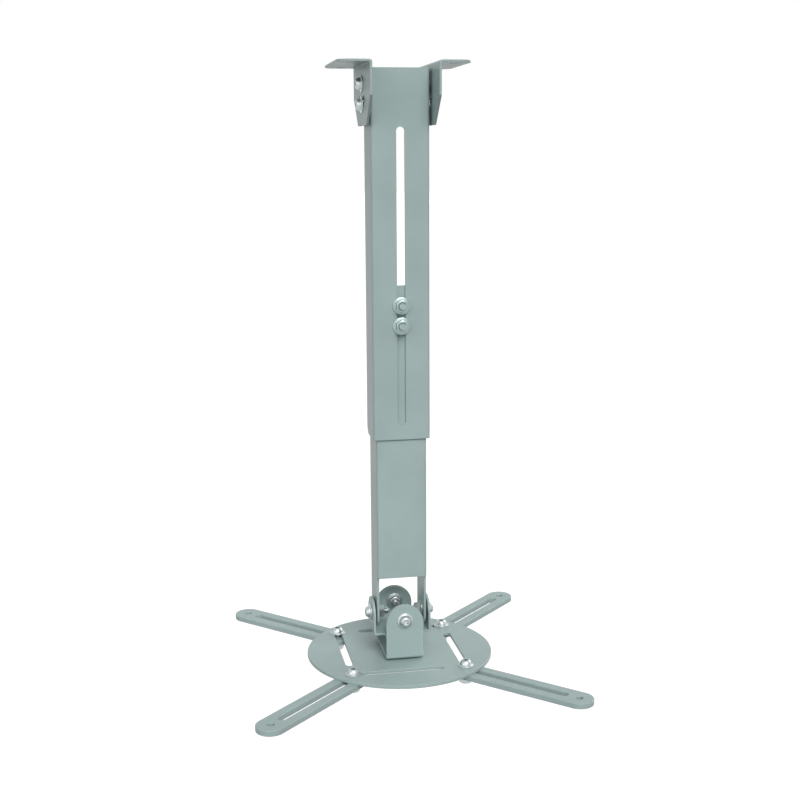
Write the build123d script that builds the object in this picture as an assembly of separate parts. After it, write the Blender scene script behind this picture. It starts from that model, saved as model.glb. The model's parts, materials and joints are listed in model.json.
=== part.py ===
"""Telescopic projector ceiling mount of folded sheet steel.

Two ceiling brackets carry a pair of sliding channels.  Below them a cross bracket and a
yoke give pitch and roll, and a round plate on the yoke carries four slotted arms.
Millimetres, +Z up, origin on the ceiling face between the brackets, front towards -Y.
"""
import os

from build123d import *

# Sheet steel, common to every folded piece
sheet = 2.0
bend_inside = 0.6
corner_round = 2.0

# Screws, nuts and washers: one screw and one nut serve the whole mount
screw_d = 6.0
screw_length = 16.0
hole_clear = 0.6
slot_clear = 1.0
thread_clear = 0.1
head_flange_d = 14.0
head_flange_edge = 0.9
head_flange_rise = 0.4
head_dome_d = 10.4
head_shoulder_d = 8.7
head_shoulder = 3.9
head_top_d = 5.6
head_height = 5.3
socket_across = 4.0
socket_depth = 2.6
nut_flange_d = 15.2
nut_flange_edge = 1.0
nut_flange_rise = 0.5
nut_flange_top_d = 12.6
nut_across = 10.0
nut_height = 6.0
washer_d = 12.0

# Ceiling brackets
bracket_depth = 88.0
flange_reach = 26.0
flange_corner = 10.0
tab_height = 51.2
tab_taper_start = 28.0
tab_end_width = 44.0
tab_spacer_t = 2.4
tilt_pivot_drop = 17.0
tilt_lock_arm = 17.0
tilt_slot_deg = 40.0
ceiling_hole_d = 7.0
ceiling_hole_pitch = 56.0

# Upper channel
upper_width = 50.0
upper_depth = 34.5
upper_length = 313.4
ceiling_gap = 4.6
column_slot_top = 47.6
column_slot_bottom = 13.0
back_corner_round = 9.0

# Lower channel
slide_clear = 0.8
web_clear = 0.2
lower_depth = 34.5
column_insert = 133.7
lower_web_length = 259.7
clamp_edge = 17.1
clamp_pitch = 17.3
pivot_below_web = 35.8
ear_setback = 4.0
ear_end = 12.0
ear_round = 10.0

# Cross bracket and yoke
pitch_spacer_t = 1.6
cross_ear_width = 32.0
cross_drop = 17.2
ear_edge = 13.6
roll_spacer_t = 1.0
yoke_width = 33.4
yoke_drop = 35.7
swivel_washer_d = 26.0
swivel_washer_t = 1.8

# Round plate and arms
plate_d = 167.0
plate_t = 3.0
plate_slot_square = 100.0
plate_slot_travel = 77.0
arm_width = 25.0
arm_t = 5.0
arm_reach = 110.8
arm_hole_d = 6.5
arm_slot_gap = 14.0
arm_washer_d = 14.0
arm_washer_t = 1.2

# Sizes and places that follow from the dimensions above
hole_d = screw_d + hole_clear
slot_width = screw_d + slot_clear
bend_outside = bend_inside + sheet

upper_top = -ceiling_gap
upper_bottom = upper_top - upper_length
upper_front = -upper_depth / 2
tab_inner = upper_width / 2 + tab_spacer_t
tab_outer = tab_inner + sheet
flange_end = tab_outer + flange_reach
tilt_pivot_z = -tilt_pivot_drop
tilt_lock_z = tilt_pivot_z - tilt_lock_arm

lower_width = upper_width - 2 * sheet - 2 * slide_clear
lower_front = upper_front + sheet + web_clear
lower_top = upper_bottom + column_insert
lower_web_end = lower_top - lower_web_length
clamp_heights = (lower_top - clamp_edge, lower_top - clamp_edge - clamp_pitch)
axis_y = lower_front + lower_depth / 2
pivot_z = lower_web_end - pivot_below_web

cross_span = lower_width + 2 * (pitch_spacer_t + sheet)
yoke_span = cross_span + 2 * (roll_spacer_t + sheet)
yoke_bottom = pivot_z - yoke_drop
plate_top = yoke_bottom - swivel_washer_t
arm_top = plate_top - plate_t
arm_bottom = arm_top - arm_t
arm_nut_top = arm_bottom - arm_washer_t

# The four arms, anticlockwise from above, by the quarter turn that places each one.
# The first points away from the plate's middle along the front left diagonal.
arm_turns = {"front_left": 0, "front_right": 90, "back_right": 180, "back_left": 270}
first_arm_heading = 225


def cylinder(diameter, height, z=0.0):
    """Round bar standing on z."""
    return Pos(0, 0, z) * extrude(Circle(diameter / 2), height)


def ring(outer_d, height):
    """Washer for the screw, standing on z = 0."""
    return extrude(Circle(outer_d / 2) - Circle(hole_d / 2), height)


def flange_screw():
    """Button head screw with a flange: seat on z = 0, head above, shank below."""
    outline = Polygon(
        (0, head_height),
        (0, -screw_length),
        (screw_d / 2, -screw_length),
        (screw_d / 2, 0),
        (head_flange_d / 2, 0),
        (head_flange_d / 2, head_flange_edge),
        (head_dome_d / 2, head_flange_edge + head_flange_rise),
        (head_shoulder_d / 2, head_shoulder),
        (head_top_d / 2, head_height),
        align=None,
    )
    screw = revolve(Plane.XZ * outline, Axis.Z)
    socket = RegularPolygon(socket_across / 2, 6, major_radius=False)
    return screw - extrude(Pos(0, 0, head_height) * socket, -socket_depth)


def flange_nut():
    """Hexagon nut on a sloping flange, seat on z = 0."""
    skirt = cylinder(nut_flange_d, nut_flange_edge)
    slope = Pos(0, 0, nut_flange_edge + nut_flange_rise / 2) * Cone(
        nut_flange_d / 2, nut_flange_top_d / 2, nut_flange_rise
    )
    hexagon = extrude(RegularPolygon(nut_across / 2, 6, major_radius=False), nut_height)
    return skirt + slope + hexagon - cylinder(screw_d + thread_clear, nut_height)


def turned(solid, point, direction):
    """Put a piece made along +Z at a point, with its +Z along a direction."""
    return Plane(origin=point, z_dir=direction) * solid


def u_section(width, depth):
    """Channel section open towards +Y, its web's outer face on y = 0."""
    outer = Rectangle(width, depth, align=(Align.CENTER, Align.MIN))
    outer = fillet(outer.vertices().group_by(Axis.Y)[0], bend_outside)
    inner = Pos(0, sheet) * Rectangle(
        width - 2 * sheet, depth, align=(Align.CENTER, Align.MIN)
    )
    inner = fillet(inner.vertices().group_by(Axis.Y)[0], bend_inside)
    return outer - inner


def ear_outline(width, bottom):
    """Ear with a full-round top, drawn with the pivot at 0, 0."""
    centre = ear_edge - width / 2
    stem = Pos(0, -bottom) * Rectangle(width, bottom + centre, align=(Align.CENTER, Align.MIN))
    return Pos(0, centre) * Circle(width / 2) + stem


def folded_u(span, width, bottom):
    """Sheet folded up at both ends into round drilled ears: span over the ears along X."""
    section = Plane.XZ * Pos(0, -bottom) * u_section(span, bottom + ear_edge)
    strip = extrude(section, width / 2, both=True)
    outline = ear_outline(width, bottom) - Circle(hole_d / 2)
    return strip & extrude(Plane.YZ * outline, span, both=True)


def ceiling_bracket():
    """Right-hand bracket: flange on the ceiling, tapered tab with pivot and arc slot."""
    reach = flange_end - tab_inner
    outer = Rectangle(reach, tab_height, align=(Align.MIN, Align.MAX))
    outer = fillet(outer.vertices().group_by(Axis.Y)[-1].sort_by(Axis.X)[0], bend_outside)
    inner = Pos(sheet, -sheet) * Rectangle(reach, tab_height, align=(Align.MIN, Align.MAX))
    inner = fillet(inner.vertices().group_by(Axis.Y)[-1].sort_by(Axis.X)[0], bend_inside)
    angle = Pos(tab_inner, 0, 0) * extrude(
        Plane.XZ * (outer - inner), bracket_depth / 2, both=True
    )
    half, end = bracket_depth / 2, tab_end_width / 2
    tab = Polygon(
        (half, 0), (-half, 0), (-half, -tab_taper_start), (-end, -tab_height),
        (end, -tab_height), (half, -tab_taper_start), align=None,
    )
    tab = fillet(tab.vertices().group_by(Axis.Y)[0], corner_round)
    tab -= Pos(0, tilt_pivot_z) * Circle(hole_d / 2)
    lock_path = CenterArc(
        (0, tilt_pivot_z), tilt_lock_arm, 270 - tilt_slot_deg, 2 * tilt_slot_deg
    )
    tab -= SlotArc(lock_path, slot_width)
    flange = Pos(tab_inner, 0) * Rectangle(reach, bracket_depth, align=(Align.MIN, Align.CENTER))
    flange = fillet(flange.vertices().group_by(Axis.X)[-1], flange_corner)
    for y in (-ceiling_hole_pitch / 2, ceiling_hole_pitch / 2):
        flange -= Pos((tab_outer + flange_end) / 2, y) * Circle(ceiling_hole_d / 2)
    return angle & extrude(Plane.YZ * tab, flange_end) & extrude(flange, -tab_height)


def upper_channel():
    """Outer channel with the height slot in its web."""
    section = Pos(0, upper_front) * u_section(upper_width, upper_depth)
    channel = Pos(0, 0, upper_bottom) * extrude(section, upper_length)
    side = Pos(0, upper_bottom) * Rectangle(
        upper_depth, upper_length, align=(Align.CENTER, Align.MIN)
    )
    side = fillet(side.vertices().group_by(Axis.Y)[0].sort_by(Axis.X)[-1], back_corner_round)
    for z in (tilt_pivot_z, tilt_lock_z):
        side -= Pos(0, z) * Circle(hole_d / 2)
    channel &= extrude(Plane.YZ * side, upper_width, both=True)

    slot_length = upper_length - column_slot_top - column_slot_bottom
    slot_middle = (upper_top - column_slot_top + upper_bottom + column_slot_bottom) / 2
    slot = Rot(0, 0, 90) * SlotOverall(slot_length, slot_width)
    return channel - extrude(Plane.XZ * Pos(0, slot_middle) * slot, upper_depth / 2)


def lower_channel():
    """Inner channel: the web stops above the pivot and the side walls go on as flat ears."""
    end_z = pivot_z - ear_end
    section = Pos(0, lower_front) * u_section(lower_width, lower_depth)
    channel = Pos(0, 0, end_z) * extrude(section, lower_top - end_z)
    corner = (Align.MIN, Align.MIN)
    wall = Rectangle(lower_depth - ear_setback, lower_top - end_z, align=corner)
    wall = Pos(lower_front + ear_setback, end_z) * fillet(
        wall.vertices().group_by(Axis.Y)[0], ear_round
    )
    full = Rectangle(lower_depth, lower_top - lower_web_end, align=corner)
    side = wall + Pos(lower_front, lower_web_end) * full
    side -= Pos(axis_y, pivot_z) * Circle(hole_d / 2)
    channel &= extrude(Plane.YZ * side, lower_width, both=True)
    for z in clamp_heights:
        channel -= extrude(Plane.XZ * Pos(0, z) * Circle(hole_d / 2), upper_depth / 2)
    return channel


def cross_bracket():
    """Four round ears folded up from one cross-shaped base."""
    pair = folded_u(cross_span, cross_ear_width, cross_drop)
    return Pos(0, axis_y, pivot_z) * (pair + Rot(0, 0, 90) * pair)


def swivel_yoke():
    """Two ears outside the cross bracket's front and back, on the swivel's base."""
    yoke = Rot(0, 0, 90) * folded_u(yoke_span, yoke_width, yoke_drop)
    return Pos(0, axis_y, pivot_z) * (yoke - cylinder(hole_d, sheet, -yoke_drop))


def arm_plate():
    """Round plate with four slots set like a pinwheel, one for each arm's screw."""
    outline = Circle(plate_d / 2) - Circle(hole_d / 2)
    start = -plate_slot_square / 2
    for turn in arm_turns.values():
        slot = Pos(start + plate_slot_travel / 2, start) * SlotCenterToCenter(
            plate_slot_travel, hole_d
        )
        outline -= Rot(0, 0, turn) * slot
    return Pos(0, axis_y, arm_top) * extrude(outline, plate_t)


def at_screw(turn):
    """Place of an arm's screw: a corner of the plate's slot square."""
    corner = -plate_slot_square / 2
    return Pos(0, axis_y, 0) * Rot(0, 0, turn) * Pos(corner, corner, 0)


def arm():
    """Flat slotted bar along +X, its screw at 0, 0 in the slot's inner end."""
    bar = Pos(arm_reach / 2, 0) * SlotCenterToCenter(arm_reach, arm_width)
    travel = arm_reach - arm_slot_gap
    bar -= Pos(travel / 2, 0) * SlotCenterToCenter(travel, slot_width)
    bar -= Pos(arm_reach, 0) * Circle(arm_hole_d / 2)
    return extrude(bar, arm_t)


def both_sides(piece, point, direction):
    """A piece on one side of the gimbal's axes and its twin on the far side."""
    x, y, z = point
    dx, dy, dz = direction
    twin = (-x, 2 * axis_y - y, z) if dy else (-x, y, z)
    return [turned(piece, point, direction), turned(piece, twin, (-dx, -dy, dz))]


def tilt_hardware():
    """Screws, spacers and nuts that hold the upper channel between the brackets."""
    wall = upper_width / 2
    spacer = ring(washer_d, tab_spacer_t)
    right, left = (1, 0, 0), (-1, 0, 0)
    pieces = {}
    for name, z in (("tilt_pivot", tilt_pivot_z), ("tilt_lock", tilt_lock_z)):
        pieces[name + "_screws"] = both_sides(flange_screw(), (tab_outer, 0, z), right)
        pieces[name + "_spacers"] = both_sides(spacer, (wall, 0, z), right)
        pieces[name + "_nuts"] = both_sides(flange_nut(), (wall - sheet, 0, z), left)
    return pieces


def clamp_hardware():
    """Screws from inside the lower channel, flange nuts on the upper channel's front."""
    head_y = lower_front + sheet
    return {
        "column_clamp_screws": [
            turned(flange_screw(), (0, head_y, z), (0, 1, 0)) for z in clamp_heights
        ],
        "column_clamp_nuts": [
            turned(flange_nut(), (0, upper_front, z), (0, -1, 0)) for z in clamp_heights
        ],
    }


def gimbal_hardware():
    """Screws, spacers and nuts of the two crossed hinges and of the swivel."""
    cross_face, ear_face, yoke_face = cross_span / 2, lower_width / 2, yoke_span / 2
    screw, nut = flange_screw(), flange_nut()
    pitch_spacer, roll_spacer = ring(washer_d, pitch_spacer_t), ring(washer_d, roll_spacer_t)
    right, left, forward, back, down = (1, 0, 0), (-1, 0, 0), (0, -1, 0), (0, 1, 0), (0, 0, -1)
    return {
        "pitch_screws": both_sides(screw, (cross_face, axis_y, pivot_z), right),
        "pitch_spacers": both_sides(pitch_spacer, (ear_face, axis_y, pivot_z), right),
        "pitch_nuts": both_sides(nut, (ear_face - sheet, axis_y, pivot_z), left),
        "roll_screws": both_sides(screw, (0, axis_y - yoke_face, pivot_z), forward),
        "roll_spacers": both_sides(roll_spacer, (0, axis_y - cross_face, pivot_z), forward),
        "roll_nuts": both_sides(nut, (0, axis_y - cross_face + sheet, pivot_z), back),
        "swivel_screw": [Pos(0, axis_y, yoke_bottom + sheet) * screw],
        "swivel_washer": [Pos(0, axis_y, plate_top) * ring(swivel_washer_d, swivel_washer_t)],
        "swivel_nut": [turned(nut, (0, axis_y, arm_top), down)],
    }


def arm_pieces():
    """Each arm with its screw, washer and nut, on bodies of their own."""
    bar, screw, washer = arm(), flange_screw(), ring(arm_washer_d, arm_washer_t)
    nut = Rot(180, 0, 0) * flange_nut()
    pieces = {}
    for name, turn in arm_turns.items():
        place = at_screw(turn)
        heading = Rot(0, 0, first_arm_heading)
        pieces["arm_" + name] = [place * Pos(0, 0, arm_bottom) * heading * bar]
        pieces["arm_screw_" + name] = [place * Pos(0, 0, plate_top) * screw]
        pieces["arm_washer_" + name] = [place * Pos(0, 0, arm_nut_top) * washer]
        pieces["arm_nut_" + name] = [place * Pos(0, 0, arm_nut_top) * nut]
    return pieces


def main():
    right_bracket = ceiling_bracket()
    nodes = {
        "ceiling_bracket_right": [right_bracket],
        "ceiling_bracket_left": [mirror(right_bracket, about=Plane.YZ)],
        "upper_channel": [upper_channel()],
        "lower_channel": [lower_channel()],
        "cross_bracket": [cross_bracket()],
        "swivel_yoke": [swivel_yoke()],
        "arm_plate": [arm_plate()],
    }
    for group in (tilt_hardware(), clamp_hardware(), gimbal_hardware(), arm_pieces()):
        nodes.update(group)
    os.makedirs("parts", exist_ok=True)
    for name, solids in nodes.items():
        shape = solids[0] if len(solids) == 1 else Compound(children=solids)
        export_step(shape, f"parts/{name}.step")


main()
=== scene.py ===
import json
import math

import bpy
import numpy as np
from mathutils import Matrix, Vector
from mathutils.geometry import delaunay_2d_cdt


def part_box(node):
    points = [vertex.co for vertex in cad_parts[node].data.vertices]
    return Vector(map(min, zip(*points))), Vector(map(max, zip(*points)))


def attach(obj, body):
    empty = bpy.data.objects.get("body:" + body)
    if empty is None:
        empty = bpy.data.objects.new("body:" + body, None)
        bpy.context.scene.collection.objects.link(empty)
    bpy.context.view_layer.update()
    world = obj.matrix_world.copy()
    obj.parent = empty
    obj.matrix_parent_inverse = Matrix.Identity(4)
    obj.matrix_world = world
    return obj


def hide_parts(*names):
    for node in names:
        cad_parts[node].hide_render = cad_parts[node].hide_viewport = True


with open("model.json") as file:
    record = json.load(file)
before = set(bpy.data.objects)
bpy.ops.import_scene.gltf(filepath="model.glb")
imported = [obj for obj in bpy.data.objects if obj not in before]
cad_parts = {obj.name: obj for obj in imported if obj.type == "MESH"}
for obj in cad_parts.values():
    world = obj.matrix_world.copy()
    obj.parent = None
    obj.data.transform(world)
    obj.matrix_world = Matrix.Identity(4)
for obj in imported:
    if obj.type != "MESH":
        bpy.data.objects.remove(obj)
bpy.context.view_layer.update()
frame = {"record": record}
nodeBody = {node: body for body, nodes in frame["record"]["behaviour"]["bodies"].items() for node in nodes}

# Sizes below are in millimetres, and a mesh is written in metres.
mm = 0.001

# Below these, measures count as nothing
nearNothing = {
    "gap": 1e-6,  # between points of a loop
    "span": 1e-9,  # of a side across the fold lines
    "share": 1e-6,  # of a side, from its ends
    "offset": 1e-5,  # from a fold line
    "merge": 1e-7,  # between corners of triangles
}

# Sheet steel, common to the folded pieces
sheetSteel = {
    "thick": 2.0,
    "bendInside": 0.6,  # inside radius of a fold
    "edgeRound": 0.38,  # paint softens the cut edges
    "edgeSteps": 4,  # facets round a quarter of an edge
    "bendSteps": 8,  # facets round a fold
    "chordError": 0.012,  # how far an arc's facets may leave the true curve
    "holeRadius": 3.3,
    "slotHalf": 3.5,
}
bendMid = sheetSteel["bendInside"] + sheetSteel["thick"] / 2
bendOutside = sheetSteel["bendInside"] + sheetSteel["thick"]
bendLength = bendMid * math.pi / 2
plusX, plusY, plusZ = np.eye(3)


# A solid's lowest and highest corners in millimetres.
def boxOf(node):
    return [np.array(corner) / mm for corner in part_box(node)]


# Middle of a solid's box: half the sum of its corners.
def middleOf(node):
    return sum(boxOf(node)) / 2


# Facets for an arc: its angle over the angle whose chord leaves the circle by chordError.
def arcSteps(radius, sweep):
    facet = 2 * math.acos(1 - sheetSteel["chordError"] / radius)
    return max(2, math.ceil(abs(sweep) / facet))


# Arc: centre plus radius times (cos a, sin a), with a running evenly from start by sweep.
# The normal is that spoke where the outline turns left, and its opposite in a hollow.
def arcPath(centre, radius, start, sweep):
    angle = start + sweep * np.linspace(0, 1, arcSteps(radius, sweep) + 1)
    spoke = np.stack((np.cos(angle), np.sin(angle)), 1)
    return np.asarray(centre) + radius * spoke, spoke * np.sign(sweep)


# Arcs set end to end as one closed loop, without the points that two of them share.
def joinedPath(arcs):
    point, normal = (np.concatenate(part) for part in zip(*arcs))
    fresh = np.linalg.norm(point - np.roll(point, 1, 0), axis=1) > nearNothing["gap"]
    return point[fresh], normal[fresh]


# Outline through corners taken anticlockwise: each corner turns into the arc that touches both sides,
# which starts radius times tan(half the turn) before the corner.
def roundedPath(corners, radii):
    corner = np.asarray(corners, float)
    radius = np.broadcast_to(np.asarray(radii, float), len(corner))
    ahead = np.roll(corner, -1, 0) - corner
    ahead /= np.linalg.norm(ahead, axis=1, keepdims=True)
    before = np.roll(ahead, 1, 0)
    out = np.stack((before[:, 1], -before[:, 0]), 1)
    turn = np.arctan2((-out * ahead).sum(1), (before * ahead).sum(1))
    spoke = out * np.sign(turn)[:, None]
    lead = radius * np.tan(np.abs(turn) / 2)
    centre = corner - before * lead[:, None] - spoke * radius[:, None]
    start = np.arctan2(spoke[:, 1], spoke[:, 0])
    return joinedPath([arcPath(*arc) for arc in zip(centre, radius, start, turn)])


# Circle: one arc right round.
def circlePath(centre, radius):
    return joinedPath([arcPath(centre, radius, 0, 2 * math.pi)])


# Slot or bar with full-round ends: a box round both centres, its corners rounded by half its width.
def slotPath(start, end, half):
    start, end = np.asarray(start, float), np.asarray(end, float)
    along = (end - start) / np.linalg.norm(end - start) * half
    across = np.array((-along[1], along[0]))
    box = (start - along - across, end + along - across, end + along + across, start - along + across)
    return roundedPath(box, half)


# Curved slot: outer arc, end cap, inner arc run backwards, end cap, about one centre along +s.
def arcSlotPath(centre, radius, half, reach):
    ends = [np.asarray(centre) + radius * np.array((math.cos(a), math.sin(a))) for a in (-reach, reach)]
    return joinedPath([
        arcPath(centre, radius + half, -reach, 2 * reach),
        arcPath(ends[1], half, reach, math.pi),
        arcPath(centre, radius - half, reach, -2 * reach),
        arcPath(ends[0], half, math.pi - reach, math.pi),
    ])


# A loop as a hole: run the other way, with its normals turned into the opening.
def asHole(path):
    return path[0][::-1], -path[1][::-1]


# A loop turned by an angle about 0, 0 and then moved.
def turnedPath(path, angle, shift):
    turn = np.array(((math.cos(angle), math.sin(angle)), (-math.sin(angle), math.cos(angle))))
    return path[0] @ turn + np.asarray(shift), path[1] @ turn


# Extra points where a loop crosses fold lines: the share of each side at which its axis equals the line.
def cutPath(path, axis, lines):
    point, normal = path
    step = np.roll(point, -1, 0) - point
    span = step[:, axis, None]
    level = np.abs(span) < nearNothing["span"]
    share = (lines - point[:, axis, None]) / np.where(level, np.inf, span)
    least = nearNothing["share"]
    side, line = np.nonzero((share > least) & (share < 1 - least))
    share = share[side, line]
    extra = point[side] + share[:, None] * step[side]
    extra[:, axis] = lines[line]
    order = np.argsort(np.concatenate((np.arange(len(point)), side + share)))
    return np.concatenate((point, extra))[order], np.concatenate((normal, normal[side]))[order]


# Whether points lie inside loops: each point's ray along +s crosses the sides an odd number of times.
def inside(point, start, end):
    s, t = point[:, None, 0], point[:, None, 1]
    spans = (start[:, 1] > t) != (end[:, 1] > t)
    rise = np.where(spans, end[:, 1] - start[:, 1], 1)
    crossing = start[:, 0] + (t - start[:, 1]) / rise * (end[:, 0] - start[:, 0])
    return (spans & (s < crossing)).sum(1) % 2 == 1


# Flat face between loops: triangles on the loops' points, kept where their middle is inside,
# with every fold line running from one side of the loop to the other.
def faceTriangles(point, following, folds):
    sides = [np.stack((np.arange(len(point)), following), 1)]
    for axis, lines in folds:
        for line in lines:
            on = np.nonzero(np.abs(point[:, axis] - line) < nearNothing["offset"])[0]
            sides.append(on[np.argsort(point[on, 1 - axis])].reshape(-1, 2))
    sides = np.concatenate(sides)
    found = delaunay_2d_cdt(point.tolist(), sides.tolist(), [], 0, nearNothing["merge"])
    triangle = np.array(found[2])
    middle = point[triangle].mean(1)
    return triangle[inside(middle, point, point[following])]


# Sheet: a rounded edge profile carried along each loop, closed above and below by flat faces.
# The profile is a quarter circle, a straight wall and a quarter circle, inset from the loop.
def sheetSurface(loops, thick, edge, folds=()):
    for axis, lines in folds:
        loops = [cutPath(loop, axis, lines) for loop in loops]
    point, normal = (np.concatenate(part) for part in zip(*loops))
    count = np.array([len(loop[0]) for loop in loops])
    first = np.repeat(np.cumsum(count) - count, count)
    index = np.arange(len(point))
    following = first + (index - first + 1) % np.repeat(count, count)

    angle = np.linspace(0, math.pi / 2, sheetSteel["edgeSteps"] + 1)
    outward = np.concatenate((np.sin(angle), np.sin(angle)[::-1]))
    upward = np.concatenate((np.cos(angle), -np.cos(angle)[::-1]))
    inset = edge * (1 - outward)
    upper = thick / 2 - edge + edge * np.cos(angle)
    height = np.concatenate((upper, -upper[::-1]))
    rows = len(inset)
    flat = point[:, None] - normal[:, None] * inset[:, None]
    where = np.dstack((flat, np.broadcast_to(height, flat.shape[:2])))
    facing = np.dstack((normal[:, None] * outward[:, None], np.broadcast_to(upward, flat.shape[:2])))

    row = np.arange(rows - 1)
    here, there = index[:, None] * rows + row, following[:, None] * rows + row
    rim = np.stack((here, here + 1, there + 1, there), -1).reshape(-1, 4)
    face = faceTriangles(flat[:, 0], following, folds)
    faces = rim.tolist() + (face * rows).tolist() + (face[:, ::-1] * rows + rows - 1).tolist()
    return where.reshape(-1, 3), facing.reshape(-1, 3), faces


# Fold: past half the base, length turns into the angle (|s| - half) / radius, up to a right angle.
# The point goes out by radius times its sine and up by radius times (1 - cosine), then straight up.
def folded(surface, half, radius=bendMid):
    where, facing, faces = surface
    flat, height = where[:, :2], where[:, 2:]
    side, past = np.sign(flat), np.abs(flat) - half
    angle = np.clip(past / radius, 0, math.pi / 2)
    sine, cosine = side * np.sin(angle), np.cos(angle)
    out = side * np.minimum(np.abs(flat), half) + radius * sine
    rise = (radius * (1 - cosine) + np.maximum(past - radius * math.pi / 2, 0)).sum(1, keepdims=True)
    up = np.hstack((-sine, cosine.prod(1, keepdims=True)))
    turned = facing[:, 2:] * up
    turned[:, :2] += facing[:, :2] * cosine
    turned[:, 2] += (facing[:, :2] * sine).sum(1)
    return np.hstack((out, rise)) + up * height, turned, faces


# Fold lines of a base: bendSteps + 1 of them, evenly along the arc, on both sides.
def foldLines(half):
    past = half + bendLength * np.linspace(0, 1, sheetSteel["bendSteps"] + 1)
    return np.concatenate((-past[::-1], past))


# A surface's own s, t and rise carried on to three directions from an origin.
def placed(surface, axes, origin):
    where, facing, faces = surface
    axes = np.asarray(axes)
    return where @ axes + np.asarray(origin), None if facing is None else facing @ axes, faces


# Length along the flat sheet to a height above the base's middle plane: base, fold, rest of the wall.
def wallAt(half, rise):
    return half + bendLength + rise - bendMid


sharpAngle = 35.0  # degrees between faces, past which a turned piece has an edge


# One mesh from surfaces whose faces point outwards, riding on the body of the solid that it stands for.
# It takes its slot's finish, or the material given.
def makePiece(name, surfaces, node, finish, material=None):
    where = np.concatenate([surface[0] for surface in surfaces])
    starts = np.cumsum([0] + [len(surface[0]) for surface in surfaces])
    faces = [[start + k for k in face]
             for start, surface in zip(starts, surfaces) for face in surface[2]]
    mesh = bpy.data.meshes.new(name)
    mesh.from_pydata((where * mm).tolist(), [], faces)
    mesh.shade_smooth()
    if surfaces[0][1] is None:
        mesh.set_sharp_from_angle(angle=math.radians(sharpAngle))
    else:
        facing = np.concatenate([surface[1] for surface in surfaces])
        facing /= np.linalg.norm(facing, axis=1, keepdims=True)
        mesh.normals_split_custom_set_from_vertices(facing.tolist())
    mesh.materials.append(material or finishes[finish])
    piece = bpy.data.objects.new(name, mesh)
    bpy.context.scene.collection.objects.link(piece)
    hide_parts(node)
    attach(piece, nodeBody[node])
    low, high = boxOf(node)
    leaves = max(np.abs(where.min(0) - low).max(), np.abs(where.max(0) - high).max())
    print(f"{name}: {len(faces)} faces, box within {leaves:.3f} mm of the solid's")


# Node of a kind in a material, with its inputs set by name.
def addNode(tree, kind, **inputs):
    node = tree.nodes.new(kind)
    for socket, value in inputs.items():
        node.inputs[socket].default_value = value
    return node


noiseBounds = (0.3, 0.7)  # most of a noise texture's values
fullBounds = (0.0, 1.0)


# Map Range: a value between two bounds becomes a value between two others, in proportion.
def spread(tree, source, low, high, bounds=noiseBounds):
    node = tree.nodes.new("ShaderNodeMapRange")
    node.inputs["From Min"].default_value, node.inputs["From Max"].default_value = bounds
    node.inputs["To Min"].default_value = low
    node.inputs["To Max"].default_value = high
    tree.links.new(source, node.inputs["Value"])
    return node.outputs["Result"]


# One value from two, by the named operation.
def combined(tree, operation, first, second):
    node = tree.nodes.new("ShaderNodeMath")
    node.operation = operation
    tree.links.new(first, node.inputs[0])
    tree.links.new(second, node.inputs[1])
    return node.outputs["Value"]


# Finish: the tone times a gain, a roughness, and a normal tilted by the slope of the grain's height.
def finished(tree, look, tone, gain, roughness, grain):
    shader = tree.nodes["Principled BSDF"]
    scaled = tree.nodes.new("ShaderNodeVectorMath")
    scaled.operation = "SCALE"
    scaled.inputs["Vector"].default_value = tone
    tree.links.new(gain, scaled.inputs["Scale"])
    tree.links.new(scaled.outputs["Vector"], shader.inputs["Base Color"])
    tree.links.new(roughness, shader.inputs["Roughness"])
    bump = addNode(tree, "ShaderNodeBump", Strength=look["grainStrength"], Distance=look["grainHeight"])
    tree.links.new(grain.outputs["Fac"], bump.inputs["Height"])
    tree.links.new(bump.outputs["Normal"], shader.inputs["Normal"])


# Satin powder coat: grey-green, a little cloudy and speckled, over fine orange peel
paintLook = {
    "tone": (0.352, 0.45, 0.44),
    "sheen": 0.18,
    "roughness": (0.35, 0.41),
    "toneSpread": 0.05,  # how far cloud and specks lighten or darken the tone
    "cloudScale": 22.0,
    "cloudDetail": 3.0,
    "speckScale": 2600.0,
    "peelScale": 700.0,
    "peelDetail": 2.0,
    "grainStrength": 0.5,
    "grainHeight": 0.00002,
}


# The tone's gain is the cloud's times each speck's, both within toneSpread of 1.
def paintedSteel():
    look = paintLook
    material = bpy.data.materials.new("paintedSteel")
    material.use_nodes = True
    tree = material.node_tree
    tree.nodes["Principled BSDF"].inputs["Specular IOR Level"].default_value = look["sheen"]
    place = tree.nodes.new("ShaderNodeTexCoord").outputs["Object"]
    cloud = addNode(tree, "ShaderNodeTexNoise", Scale=look["cloudScale"], Detail=look["cloudDetail"])
    speck = addNode(tree, "ShaderNodeTexVoronoi", Scale=look["speckScale"])
    peel = addNode(tree, "ShaderNodeTexNoise", Scale=look["peelScale"], Detail=look["peelDetail"])
    for texture in (cloud, speck, peel):
        tree.links.new(place, texture.inputs["Vector"])
    step = look["toneSpread"]
    gain = combined(tree, "MULTIPLY", spread(tree, cloud.outputs["Fac"], 1 - step, 1 + step),
                    spread(tree, speck.outputs["Color"], 1 - step, 1 + step, fullBounds))
    roughness = spread(tree, cloud.outputs["Fac"], *look["roughness"])
    finished(tree, look, look["tone"], gain, roughness, peel)
    return material


# Zinc on screws, nuts, washers and spacers: bare metal with passes of duller plating
zincLook = {
    "brightTone": (0.47, 0.52, 0.515),
    # The next tone is the zinc tone made darker, for the column's clamp screws and nuts; its roughness is the
    # same
    "darkerTone": (0.30, 0.378, 0.37),  # the column's clamp screws and nuts
    "roughness": (0.34, 0.42),
    "toneSpread": 0.04,
    "platingScale": 420.0,
    "platingDetail": 4.0,
    "grainScale": 1800.0,
    "grainDetail": 2.0,
    "grainStrength": 0.2,
    "grainHeight": 0.00001,
}


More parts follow.
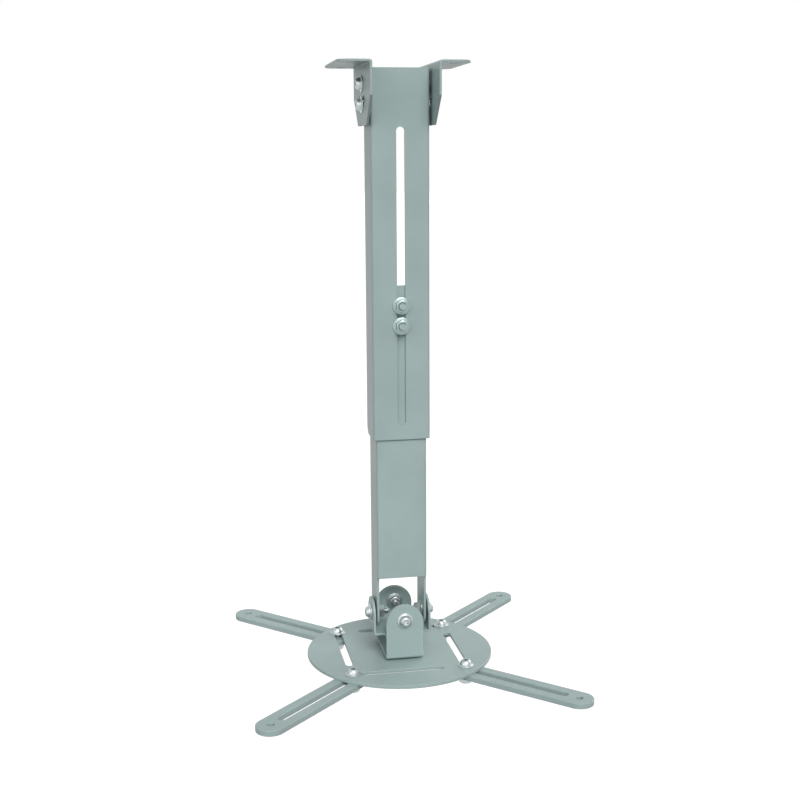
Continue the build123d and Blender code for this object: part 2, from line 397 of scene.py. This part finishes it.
# The tone's gain follows the plating, within toneSpread of 1.
def zincHardware(name, tone):
    look = zincLook
    material = bpy.data.materials.new(name)
    material.use_nodes = True
    tree = material.node_tree
    tree.nodes["Principled BSDF"].inputs["Metallic"].default_value = 1.0
    place = tree.nodes.new("ShaderNodeTexCoord").outputs["Object"]
    plating = addNode(tree, "ShaderNodeTexNoise", Scale=look["platingScale"], Detail=look["platingDetail"])
    grain = addNode(tree, "ShaderNodeTexNoise", Scale=look["grainScale"], Detail=look["grainDetail"])
    for texture in (plating, grain):
        tree.links.new(place, texture.inputs["Vector"])
    step = look["toneSpread"]
    gain = spread(tree, plating.outputs["Fac"], 1 - step, 1 + step)
    roughness = spread(tree, plating.outputs["Fac"], *look["roughness"])
    finished(tree, look, tone, gain, roughness, grain)
    return material


brightZinc = zincHardware("brightZinc", zincLook["brightTone"])
# A second zinc material in the darker tone, for the column's clamp hardware
darkerZinc = zincHardware("darkerZinc", zincLook["darkerTone"])
finishes = {"painted_steel": paintedSteel(), "zinc_hardware": brightZinc}
print("finishes done")

# Places that several pieces share
pitchAxis = middleOf("pitch_screws")
tiltPivotZ, tiltLockZ = middleOf("tilt_pivot_screws")[2], middleOf("tilt_lock_screws")[2]
thick, edgeRound, holeRadius = (sheetSteel[key] for key in ("thick", "edgeRound", "holeRadius"))
slotHalf = sheetSteel["slotHalf"]

# Ceiling brackets: the flange runs in from its free end, and the tab is folded down from it.
ceilingBracket = {
    "flangeCorner": 10.0,
    "taperStart": 28.0,  # below the ceiling
    "taperRound": 1.5,
    "tabEndHalf": 22.0,
    "tabCorner": 2.0,
    "ceilingHoleRadius": 3.5,
    "ceilingHoleHalf": 28.0,
    "slotReach": 40.0,  # degrees each way
}


# Flat outline: s runs from the flange's free end over the fold to the tab's end, and t across.
# Below taperStart the tab narrows evenly.
def bracketSurface():
    low, high = boxOf("ceiling_bracket_right")
    bracket = ceilingBracket
    half = high[0] - low[0] - bendOutside
    deep = high[1]

    def down(z):
        return wallAt(half, -z - thick / 2)

    taper, end = down(-bracket["taperStart"]), down(low[2])
    outline = roundedPath(
        ((0, -deep), (taper, -deep), (end, -bracket["tabEndHalf"]),
         (end, bracket["tabEndHalf"]), (taper, deep), (0, deep)),
        [bracket[key] for key in ("flangeCorner", "taperRound", "tabCorner",
                                  "tabCorner", "taperRound", "flangeCorner")],
    )
    pivot = (down(tiltPivotZ), 0)
    holeAt = (high[0] - low[0] - thick) / 2
    openings = [circlePath((holeAt, y), bracket["ceilingHoleRadius"])
                for y in (-bracket["ceilingHoleHalf"], bracket["ceilingHoleHalf"])]
    openings.append(circlePath(pivot, holeRadius))
    reach = math.radians(bracket["slotReach"])
    openings.append(arcSlotPath(pivot, tiltPivotZ - tiltLockZ, slotHalf, reach))
    loops = [outline] + [asHole(opening) for opening in openings]
    sheet = sheetSurface(loops, thick, edgeRound, [(0, foldLines(half)[sheetSteel["bendSteps"] + 1:])])
    return folded(sheet, (half, np.inf)), high[0]


bracketSheet, flangeEnd = bracketSurface()
for side, sign in (("Right", 1), ("Left", -1)):
    axes, origin = (-sign * plusX, sign * plusY, -plusZ), (sign * flangeEnd, 0, -thick / 2)
    makePiece("ceilingBracket" + side, [placed(bracketSheet, axes, origin)],
              "ceiling_bracket_" + side.lower(), "painted_steel")

# Upper channel: one flat sheet, folded back along both sides of its slotted web.
upperChannel = {"slotTop": 47.6, "slotBottom": 13.0, "backCorner": 9.0, "topCorner": 0.6}


# Flat outline: web, two folds and two walls side by side, as s, and the channel's own height as t.
def upperSurface():
    low, high = boxOf("upper_channel")
    half = (high[0] - low[0]) / 2 - bendOutside
    base = low[1] + thick / 2
    edge = wallAt(half, high[1] - base)
    corner, top = upperChannel["backCorner"], upperChannel["topCorner"]
    outline = roundedPath(((-edge, low[2]), (edge, low[2]), (edge, high[2]), (-edge, high[2])),
                          (corner, corner, top, top))
    slotEnds = [(0, low[2] + upperChannel["slotBottom"] + slotHalf),
                (0, high[2] - upperChannel["slotTop"] - slotHalf)]
    openings = [slotPath(*slotEnds, slotHalf)]
    hole = wallAt(half, middleOf("tilt_pivot_screws")[1] - base)
    openings += [circlePath((s, z), holeRadius) for s in (-hole, hole) for z in (tiltPivotZ, tiltLockZ)]
    loops = [outline] + [asHole(opening) for opening in openings]
    sheet = folded(sheetSurface(loops, thick, edgeRound, [(0, foldLines(half))]), (half, np.inf))
    return placed(sheet, (-plusX, plusZ, plusY), (0, base, 0))


makePiece("upperChannel", [upperSurface()], "upper_channel", "painted_steel")

# Lower channel: the web stops short, and the walls go on below it as flat ears.
lowerChannel = {"earDrop": 47.8, "earSetback": 4.0, "earRound": 10.0, "notchRound": 0.8, "topCorner": 0.6}


# Flat outline: as the upper channel's, but below webEnd only the walls go on, set back from the web.
def lowerSurface():
    low, high = boxOf("lower_channel")
    half = (high[0] - low[0]) / 2 - bendOutside
    base = low[1] + thick / 2
    edge = wallAt(half, high[1] - base)
    ear = wallAt(half, low[1] + lowerChannel["earSetback"] - base)
    webEnd = low[2] + lowerChannel["earDrop"]
    outline = roundedPath(
        ((ear, low[2]), (edge, low[2]), (edge, high[2]), (-edge, high[2]),
         (-edge, low[2]), (-ear, low[2]), (-ear, webEnd), (ear, webEnd)),
        [lowerChannel[key] for key in ("earRound", "earRound", "topCorner", "topCorner",
                                       "earRound", "earRound", "notchRound", "notchRound")],
    )
    hole = wallAt(half, pitchAxis[1] - base)
    openings = [circlePath((s, pitchAxis[2]), holeRadius) for s in (-hole, hole)]
    openings += [circlePath((0, z), holeRadius) for z in clampHeights]
    loops = [outline] + [asHole(opening) for opening in openings]
    sheet = folded(sheetSurface(loops, thick, edgeRound, [(0, foldLines(half))]), (half, np.inf))
    return placed(sheet, (-plusX, plusZ, plusY), (0, base, 0))


clampLow, clampHigh = boxOf("column_clamp_screws")
clampRadius = (clampHigh[0] - clampLow[0]) / 2
clampHeights = (clampHigh[2] - clampRadius, clampLow[2] + clampRadius)
makePiece("lowerChannel", [lowerSurface()], "lower_channel", "painted_steel")

# Cross bracket: a cross-shaped sheet with its four round ends folded up into ears.
crossBracket = {"earHalf": 16.0, "innerCorner": 1.5}


# Flat outline: an arm with a half-round end, repeated at each quarter turn.
def crossSurface():
    low, high = boxOf("cross_bracket")
    half = (high[0] - low[0]) / 2 - bendOutside
    base = low[2] + thick / 2
    tip = wallAt(half, high[2] - base)
    pivot = wallAt(half, pitchAxis[2] - base)
    wide, inner = crossBracket["earHalf"], crossBracket["innerCorner"]
    quarter = np.array(((tip, -wide), (tip, wide), (wide, wide)))
    turns = [np.array(((c, s), (-s, c))) for c, s in ((1, 0), (0, 1), (-1, 0), (0, -1))]
    outline = roundedPath(np.concatenate([quarter @ turn for turn in turns]), (wide, wide, inner) * 4)
    openings = [circlePath(np.array((pivot, 0)) @ turn, holeRadius) for turn in turns]
    loops = [outline] + [asHole(opening) for opening in openings]
    sheet = sheetSurface(loops, thick, edgeRound, [(0, foldLines(half)), (1, foldLines(half))])
    return placed(folded(sheet, (half, half)), (plusX, plusY, plusZ), (pitchAxis[0], pitchAxis[1], base))


makePiece("crossBracket", [crossSurface()], "cross_bracket", "painted_steel")

# Yoke: a strip with round ends, folded up in front of and behind the cross bracket.
swivelYoke = {"swivelHoleRadius": 3.3}


# Flat outline: a strip whose length is the base, two folds and two ears, with half-round ends.
def yokeSurface():
    low, high = boxOf("swivel_yoke")
    half = (high[1] - low[1]) / 2 - bendOutside
    wide = (high[0] - low[0]) / 2
    base = low[2] + thick / 2
    tip = wallAt(half, high[2] - base)
    pivot = wallAt(half, pitchAxis[2] - base)
    outline = slotPath((wide - tip, 0), (tip - wide, 0), wide)
    openings = [circlePath((s, 0), holeRadius) for s in (-pivot, pivot)]
    openings.append(circlePath((0, 0), swivelYoke["swivelHoleRadius"]))
    loops = [outline] + [asHole(opening) for opening in openings]
    sheet = folded(sheetSurface(loops, thick, edgeRound, [(0, foldLines(half))]), (half, np.inf))
    return placed(sheet, (plusY, -plusX, plusZ), (pitchAxis[0], pitchAxis[1], base))


makePiece("swivelYoke", [yokeSurface()], "swivel_yoke", "painted_steel")

# Round plate: four slots set like a pinwheel about the swivel's hole.
armPlate = {"slotSquareHalf": 50.0, "slotTravel": 77.0, "edgeRound": 0.5}
armTurns = {"front_left": 0, "front_right": 90, "back_right": 180, "back_left": 270}


# Outline: a circle, less one slot repeated at each quarter turn and the swivel's hole.
def plateSurface():
    low, high = boxOf("arm_plate")
    corner, travel = -armPlate["slotSquareHalf"], armPlate["slotTravel"]
    slot = slotPath((corner, corner), (corner + travel, corner), holeRadius)
    openings = [turnedPath(slot, math.radians(turn), (0, 0)) for turn in armTurns.values()]
    openings.append(circlePath((0, 0), holeRadius))
    loops = [circlePath((0, 0), (high[0] - low[0]) / 2)] + [asHole(opening) for opening in openings]
    plate = sheetSurface(loops, high[2] - low[2], armPlate["edgeRound"])
    return placed(plate, (plusX, plusY, plusZ), (low + high) / 2)


makePiece("armPlate", [plateSurface()], "arm_plate", "painted_steel")

# Arms: flat bars with full-round ends, a long slot and a projector screw's hole at the tip.
slottedArm = {
    "reach": 110.8,
    "half": 12.5,
    "slotGap": 14.0,
    "tipHoleRadius": 3.25,
    "heading": 225.0,  # of the front left arm, in degrees
    "edgeRound": 0.7,
}


# Outline: a bar from the arm's screw to its tip, less its slot and hole, turned to the arm's heading.
def armSurface(name, turn):
    low, high = boxOf("arm_" + name)
    arm = slottedArm
    outline = slotPath((0, 0), (arm["reach"], 0), arm["half"])
    openings = [slotPath((0, 0), (arm["reach"] - arm["slotGap"], 0), slotHalf),
                circlePath((arm["reach"], 0), arm["tipHoleRadius"])]
    heading = math.radians(arm["heading"] + turn)
    screw = middleOf("arm_screw_" + name)[:2]
    loops = [turnedPath(path, heading, screw) for path in [outline] + [asHole(o) for o in openings]]
    bar = sheetSurface(loops, high[2] - low[2], arm["edgeRound"])
    return placed(bar, (plusX, plusY, plusZ), (0, 0, (low[2] + high[2]) / 2))


# camelCase name of a piece from its node's name.
def pieceName(node):
    words = node.split("_")
    return words[0] + "".join(word.capitalize() for word in words[1:])


for name, turn in armTurns.items():
    makePiece(pieceName("arm_" + name), [armSurface(name, turn)], "arm_" + name, "painted_steel")
print("sheet pieces done")

# Turned pieces: the angle round the axis has a multiple of six steps, so that hexagons keep their corners.
turnSteps = 72
turnAngle = np.arange(turnSteps) * 2 * math.pi / turnSteps


# Hexagon in polar form: half the width across flats over the cosine of the angle from the flat's middle.
def hexRadius(across):
    return across / 2 / np.cos(turnAngle % (math.pi / 3) - math.pi / 6)


# Turned surface: station j is at (r cos a, r sin a, z), with r and z from the profile at each angle a.
# The profile runs outwards over the top and then down. It closes on itself, or on the axis at both ends.
def turnedSurface(stations, closed):
    radius, height = (np.array([np.broadcast_to(part, turnSteps) for part in parts])
                      for parts in zip(*stations))
    where = np.stack((radius * np.cos(turnAngle), radius * np.sin(turnAngle), height), -1)
    rows = len(where)
    this, step = np.arange(turnSteps), np.roll(np.arange(turnSteps), -1)
    row = np.arange(rows if closed else rows - 1)[:, None] * turnSteps
    below = (row + turnSteps) % (rows * turnSteps)
    faces = np.stack((row + this, below + this, below + step, row + step), -1).reshape(-1, 4).tolist()
    points = where.reshape(-1, 3)
    if not closed:
        top, bottom = len(points), len(points) + 1
        last = (rows - 1) * turnSteps
        faces += np.stack((np.full(turnSteps, top), this, step), 1).tolist()
        faces += np.stack((np.full(turnSteps, bottom), last + step, last + this), 1).tolist()
        points = np.concatenate((points, [(0, 0, height[0, 0]), (0, 0, height[-1, 0])]))
    return points, None, faces


# A turned surface with its axis along a direction and a hexagon's corner up, or along X on an upright one.
def seated(surface, point, direction):
    along = np.asarray(direction, float)
    up = plusX if abs(along[2]) > 0.5 else plusZ
    return placed(surface, (up, np.cross(along, up), along), point)


# Flanges of screws and nuts
flangeRim = {"round": 0.3, "roundSteps": 4, "seatChamfer": 0.15}


# Rim: a quarter circle from the flange's top into its edge, then down to a chamfer at the seat.
def rimStations(radius, edge):
    soft, seat = flangeRim["round"], flangeRim["seatChamfer"]
    quarter = np.linspace(0, math.pi / 2, flangeRim["roundSteps"] + 1)
    corner = zip(radius - soft + soft * np.sin(quarter), edge - soft + soft * np.cos(quarter))
    return [*corner, (radius, seat), (radius - seat, 0)]


flangeScrew = {
    "length": 16.0,
    "radius": 3.0,
    "headHeight": 5.3,
    "topRadius": 2.8,
    "topEdge": 0.1,  # flat kept before the dome
    "domeRadius": 5.2,
    "domeFoot": 1.45,
    "domeSlope": 1.5,  # 1 would be an ellipse, and more falls away sooner
    "domeSteps": 8,
    "footHollow": ((0.06, 0.15), (0.25, 0.28)),  # out from the dome, and down from its foot
    "flangeRadius": 7.0,
    "flangeEdge": 0.9,
    "socketAcross": 4.0,
    "socketDepth": 2.6,
    "socketPoint": 0.6,
    "socketChamfer": 0.2,
    "threadPitch": 1.0,
    "threadDepth": 0.5,
    "threadSlope": 1.4,  # how much steeper than an even wave
    "threadFlat": 0.2,  # taken off the wave, which leaves a flat crest
    "threadSteps": 8,  # stations to a pitch
    "threadMargin": 0.02,
    "endChamfer": 0.8,
}
axisRing = 0.05  # radius of the ring round a point on the axis


# Screw: cone-bottomed hexagon socket, flat top, dome whose radius grows with the sine of an angle while its
# height falls with that angle's cosine to the power domeSlope, flange with a rounded rim,
# then a shank whose radius dips by a triangle wave of (z / pitch - a / full turn), and a chamfered end.
def screwSurface():
    screw = flangeScrew
    top, dome, foot, crown = (screw[key] for key in ("headHeight", "domeRadius", "domeFoot", "topRadius"))
    socket, lip = hexRadius(screw["socketAcross"]), screw["socketChamfer"]
    floor = top - screw["socketDepth"]
    stations = [(axisRing, floor - screw["socketPoint"]), (socket, floor), (socket, top - lip)]
    stations += [(socket.max() + lip / 2, top), (crown - screw["topEdge"], top)]
    arc = np.linspace(0, math.pi / 2, screw["domeSteps"] + 1)
    fall = np.clip(np.cos(arc), 0, 1) ** screw["domeSlope"]
    stations += zip(crown + (dome - crown) * np.sin(arc), foot + (top - foot) * fall)
    stations += [(dome + out, foot - down) for out, down in screw["footHollow"]]
    stations += rimStations(screw["flangeRadius"], screw["flangeEdge"])

    shank, pitch, length, margin = (screw[key] for key in ("radius", "threadPitch", "length", "threadMargin"))
    z = -np.linspace(margin, length - margin, int(length / pitch * screw["threadSteps"]))[:, None]
    wave = np.abs((z / pitch - turnAngle / (2 * math.pi)) % 1 * 2 - 1)
    cut = screw["threadDepth"] * np.clip(wave * screw["threadSlope"] - screw["threadFlat"], 0, 1)
    end = shank - np.maximum(0, screw["endChamfer"] - (length + z))
    stations += [(shank, 0), *zip(np.minimum(shank - cut, end), z), (axisRing, -length)]
    return turnedSurface(stations, False)


flangeNut = {
    "height": 6.0,
    "across": 10.0,
    "bore": 3.05,
    "crownRadius": 4.7,
    "crownSlope": 30.0,  # degrees
    "footHollow": ((0, 0.25), (0.06, 0.08), (0.2, 0)),  # out from the hexagon, and up from the flange
    "flangeRadius": 7.6,
    "flangeEdge": 1.0,
    "flangeRise": 0.5,
    "flangeFall": 0.03,  # of the flange's top, out to flangeTopRadius
    "flangeTopRadius": 6.3,
    "countersink": 0.45,
}


# Nut: countersunk bore, crown where a cone cuts the hexagon, hexagon down to a sloping flange.
def nutSurface():
    nut = flangeNut
    top, bore, sink, crown = (nut[key] for key in ("height", "bore", "countersink", "crownRadius"))
    body = hexRadius(nut["across"])
    shoulder = top - (body - crown) * math.tan(math.radians(nut["crownSlope"]))
    foot = nut["flangeEdge"] + nut["flangeRise"]
    stations = [(bore, top - sink), (bore + sink, top), (crown, top), (body, shoulder)]
    stations += [(body + out, foot + up) for out, up in nut["footHollow"]]
    stations.append((nut["flangeTopRadius"], foot - nut["flangeFall"]))
    stations += rimStations(nut["flangeRadius"], nut["flangeEdge"])
    stations += [(bore + sink, 0), (bore, sink)]
    return turnedSurface(stations, True)


spacerRing = {"bore": 3.3, "edgeRound": 0.18}


# Washer or spacer: a rounded rectangle turned about the axis, from bore to rim and from 0 to its thickness.
def ringSurface(rim, height):
    bore = spacerRing["bore"]
    section = roundedPath(((bore, 0), (rim, 0), (rim, height), (bore, height)), spacerRing["edgeRound"])
    return turnedSurface(list(section[0][::-1]), True)


# Two of a fastener facing each other or away: seats at both ends of the node's box along an axis,
# drawn in by inset.
def pairOf(surface, node, axis, inset, outwards):
    low, high = boxOf(node)
    middle, reach = (low + high) / 2, (high[axis] - low[axis]) / 2 - inset
    unit = np.eye(3)[axis]
    return [seated(surface, middle + sign * reach * unit, sign * unit * (1 if outwards else -1))
            for sign in (1, -1)]


screw, nut = screwSurface(), nutSurface()
head = flangeScrew["headHeight"]

# Hinges: the axis that their screws lie along, and the sheet that their spacers stand on
hinges = {
    "tilt_pivot": (0, "upper_channel"),
    "tilt_lock": (0, "upper_channel"),
    "pitch": (0, "lower_channel"),
    "roll": (1, "cross_bracket"),
}
for name, (axis, carrier) in hinges.items():
    low, high = boxOf(name + "_spacers")
    gap = high[axis] - boxOf(carrier)[1][axis]
    spacer = ringSurface((high[2] - low[2]) / 2, gap)
    hardware = {
        "_screws": pairOf(screw, name + "_screws", axis, head, True),
        "_spacers": pairOf(spacer, name + "_spacers", axis, gap, True),
        "_nuts": pairOf(nut, name + "_nuts", axis, 0, False),
    }
    for kind, pieces in hardware.items():
        makePiece(pieceName(name + kind), pieces, name + kind, "zinc_hardware")

# Column clamp: heads inside the lower channel, nuts on the upper channel's front
headSeat, nutSeat = clampHigh[1] - head, boxOf("column_clamp_nuts")[1][1]
# The clamp screws and nuts take the zinc material in the darker tone
makePiece("columnClampScrews", [seated(screw, (0, headSeat, z), plusY) for z in clampHeights],
          "column_clamp_screws", "zinc_hardware", darkerZinc)
makePiece("columnClampNuts", [seated(nut, (0, nutSeat, z), -plusY) for z in clampHeights],
          "column_clamp_nuts", "zinc_hardware", darkerZinc)


# An upright screw, washer and nut: the screw hangs from its head, and the nut faces down.
def uprightSet(screwNode, washerNode, nutNode):
    place = middleOf(screwNode)
    seat = boxOf(screwNode)[1][2] - head
    makePiece(pieceName(screwNode), [seated(screw, (place[0], place[1], seat), plusZ)],
              screwNode, "zinc_hardware")
    low, high = boxOf(washerNode)
    washer = ringSurface((high[0] - low[0]) / 2, high[2] - low[2])
    makePiece(pieceName(washerNode), [seated(washer, (place[0], place[1], low[2]), plusZ)],
              washerNode, "zinc_hardware")
    makePiece(pieceName(nutNode), [seated(nut, (place[0], place[1], boxOf(nutNode)[1][2]), -plusZ)],
              nutNode, "zinc_hardware")


uprightSet("swivel_screw", "swivel_washer", "swivel_nut")
for name in armTurns:
    uprightSet("arm_screw_" + name, "arm_washer_" + name, "arm_nut_" + name)
print("hardware done")

# Camera: at the photograph's place, turned right by yaw, down by pitch and round by roll, in radians
photoCamera = {
    "place": (-0.19893, -1.07195, -0.07862),
    "yaw": 0.1849,
    "pitch": 0.1881,
    "roll": -0.0060,
    "lens": 57.0,  # millimetres, as is the sensor's width
    "sensor": 36.0,
}
yaw, pitch, roll = (photoCamera[key] for key in ("yaw", "pitch", "roll"))
ahead = np.array((math.sin(yaw) * math.cos(pitch), math.cos(yaw) * math.cos(pitch), -math.sin(pitch)))
right = np.array((math.cos(yaw), -math.sin(yaw), 0))
up = np.cross(right, ahead)
right, up = math.cos(roll) * right + math.sin(roll) * up, math.cos(roll) * up - math.sin(roll) * right
camera = bpy.data.objects.new("camera", bpy.data.cameras.new("camera"))
camera.data.lens = photoCamera["lens"]
camera.data.sensor_width = photoCamera["sensor"]
stance = np.eye(4)
stance[:3, :3] = np.stack((right, up, -ahead), 1)
stance[:3, 3] = photoCamera["place"]
camera.matrix_world = Matrix(stance.tolist())
bpy.context.scene.collection.objects.link(camera)
bpy.context.scene.camera = camera

# Studio: a white room, soft lamps far off, and a pale floor well below the mount
studio = {
    "roomLight": 0.32,  # of the white room, on matt surfaces
    "lamps": {  # where each shines from, its strength and how many degrees wide it is
        "key": ((0.1, -0.9, 0.75), 2.15, 32.0),
        "fill": ((-1.0, -0.9, 0.12), 0.8, 50.0),
        "back": ((1.0, 0.8, 0.4), 1.0, 40.0),
    },
    "floorHeight": -1.15,
    "floorHalf": 40.0,
    "floorTone": 0.2,
    "floorRoughness": 0.9,
    "floorLift": 0.9,  # brings the floor up to white, and leaves the shadow
}


# Whether a ray comes from the camera, a reflection or glass: the greatest of the three flags.
def seenRay(tree):
    path = tree.nodes.new("ShaderNodeLightPath")
    bounced = combined(tree, "MAXIMUM", path.outputs["Is Glossy Ray"], path.outputs["Is Transmission Ray"])
    return combined(tree, "MAXIMUM", path.outputs["Is Camera Ray"], bounced)


# Lamp: a far disc of light, shining from a point towards the middle.
def softLamp(name, place, strength, angle):
    lamp = bpy.data.lights.new(name, "SUN")
    lamp.energy = strength
    lamp.angle = math.radians(angle)
    holder = bpy.data.objects.new(name, lamp)
    back = np.asarray(place) / np.linalg.norm(place)
    side = np.cross(plusZ, back)
    side /= np.linalg.norm(side)
    holder.matrix_world = Matrix(np.stack((side, np.cross(back, side), back), 1).tolist()).to_4x4()
    bpy.context.scene.collection.objects.link(holder)


for name, (place, strength, angle) in studio["lamps"].items():
    softLamp(name + "Lamp", place, strength, angle)

room = bpy.data.worlds.new("whiteRoom")
room.use_nodes = True
roomTree = room.node_tree
roomLight = roomTree.nodes["Background"]
roomLight.inputs["Color"].default_value = (1, 1, 1, 1)
roomTree.links.new(spread(roomTree, seenRay(roomTree), studio["roomLight"], 1.0, fullBounds),
                   roomLight.inputs["Strength"])
bpy.context.scene.world = room

paleFloor = bpy.data.materials.new("paleFloor")
paleFloor.use_nodes = True
floorTree = paleFloor.node_tree
floorShader = floorTree.nodes["Principled BSDF"]
floorShader.inputs["Base Color"].default_value = (*(studio["floorTone"],) * 3, 1)
floorShader.inputs["Roughness"].default_value = studio["floorRoughness"]
floorShader.inputs["Emission Color"].default_value = (1, 1, 1, 1)
floorTree.links.new(spread(floorTree, seenRay(floorTree), 0, studio["floorLift"], fullBounds),
                    floorShader.inputs["Emission Strength"])
floorMesh = bpy.data.meshes.new("floor")
wide, level = studio["floorHalf"], studio["floorHeight"]
corners = [(x * wide, y * wide, level) for x, y in ((-1, -1), (1, -1), (1, 1), (-1, 1))]
floorMesh.from_pydata(corners, [], [(0, 1, 2, 3)])
floorMesh.materials.append(paleFloor)
floor = bpy.data.objects.new("floor", floorMesh)
bpy.context.scene.collection.objects.link(floor)
bpy.context.scene.view_settings.view_transform = "Standard"
print("studio done")
